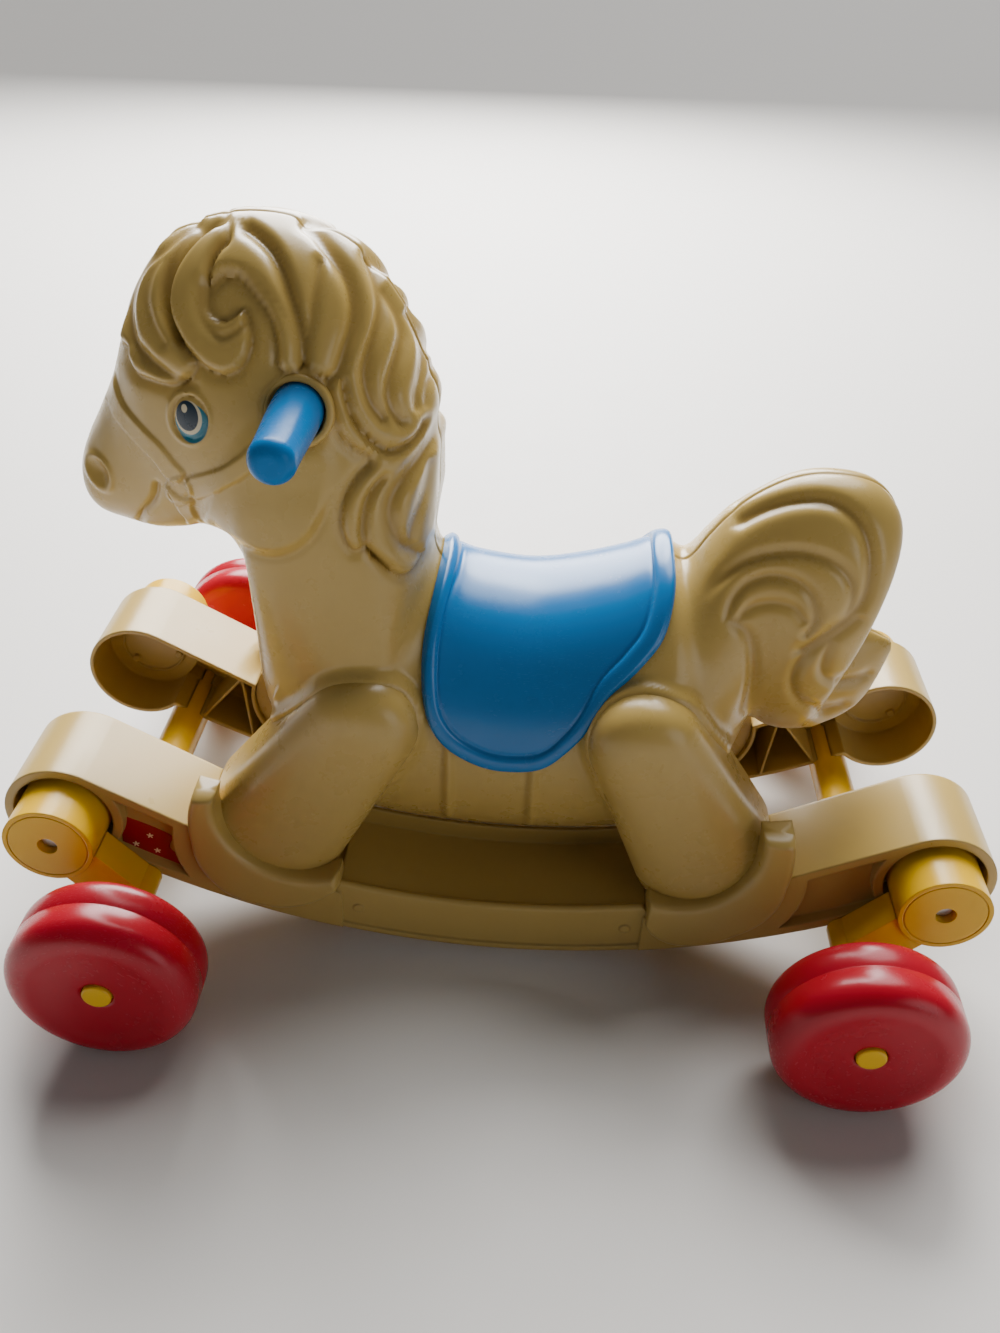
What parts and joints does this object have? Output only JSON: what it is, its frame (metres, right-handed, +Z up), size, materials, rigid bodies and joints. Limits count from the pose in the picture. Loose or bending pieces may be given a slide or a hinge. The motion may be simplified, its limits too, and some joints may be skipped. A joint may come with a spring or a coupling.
{
  "type": "ride-on rocking horse",
  "caption": "Plastic ride-on horse with saddle and hand grips on curved rails; hinged frames carry wheels, so it rolls, or rocks when the frames are turned up.",
  "frame": {"origin": "on the floor under the middle of the object", "axes": "+X towards the tail, +Y to the horse's right side, +Z up"},
  "size_m": [0.704, 0.474, 0.51],
  "materials": {
    "cream_plastic": "ivory moulded plastic, glossy, slightly yellowed",
    "blue_plastic": "blue moulded plastic, glossy",
    "yellow_plastic": "yellow moulded plastic, glossy",
    "red_plastic": "red blow-moulded plastic, satin gloss",
    "steel": "zinc-plated screws"
  },
  "bodies": {
    "chassis": {"body_left": "cream_plastic", "body_right": "cream_plastic", "saddle": "blue_plastic", "handlebar": "blue_plastic", "rail_left": "cream_plastic", "rail_right": "cream_plastic", "hub_screws": "steel", "rail_screws": "steel", "body_screws": "steel"},
    "front_frame": {"front_arm_left": "yellow_plastic", "front_arm_right": "yellow_plastic", "front_cross_tube": "yellow_plastic", "axle_front_left": "yellow_plastic", "axle_front_right": "yellow_plastic"},
    "rear_frame": {"rear_arm_left": "yellow_plastic", "rear_arm_right": "yellow_plastic", "rear_cross_tube": "yellow_plastic", "axle_rear_left": "yellow_plastic", "axle_rear_right": "yellow_plastic"},
    "front_left_wheel": {"wheel_front_left": "red_plastic"},
    "front_right_wheel": {"wheel_front_right": "red_plastic"},
    "rear_left_wheel": {"wheel_rear_left": "red_plastic"},
    "rear_right_wheel": {"wheel_rear_right": "red_plastic"}
  },
  "joints": [
    {"name": "front_swing", "type": "hinge", "parent": "chassis", "child": "front_frame", "pos_m": [-0.31, 0, 0.116], "axis": [0, 1, 0], "range_deg": [0, 230]},
    {"name": "rear_swing", "type": "hinge", "parent": "chassis", "child": "rear_frame", "pos_m": [0.31, 0, 0.116], "axis": [0, -1, 0], "range_deg": [0, 230]},
    {"name": "front_left_spin", "type": "hinge", "parent": "front_frame", "child": "front_left_wheel", "pos_m": [-0.2555, -0.21, 0.0645], "axis": [0, 1, 0], "continuous": true},
    {"name": "front_right_spin", "type": "hinge", "parent": "front_frame", "child": "front_right_wheel", "pos_m": [-0.2555, 0.21, 0.0645], "axis": [0, 1, 0], "continuous": true},
    {"name": "rear_left_spin", "type": "hinge", "parent": "rear_frame", "child": "rear_left_wheel", "pos_m": [0.2555, -0.21, 0.0645], "axis": [0, 1, 0], "continuous": true},
    {"name": "rear_right_spin", "type": "hinge", "parent": "rear_frame", "child": "rear_right_wheel", "pos_m": [0.2555, 0.21, 0.0645], "axis": [0, 1, 0], "continuous": true}
  ]
}
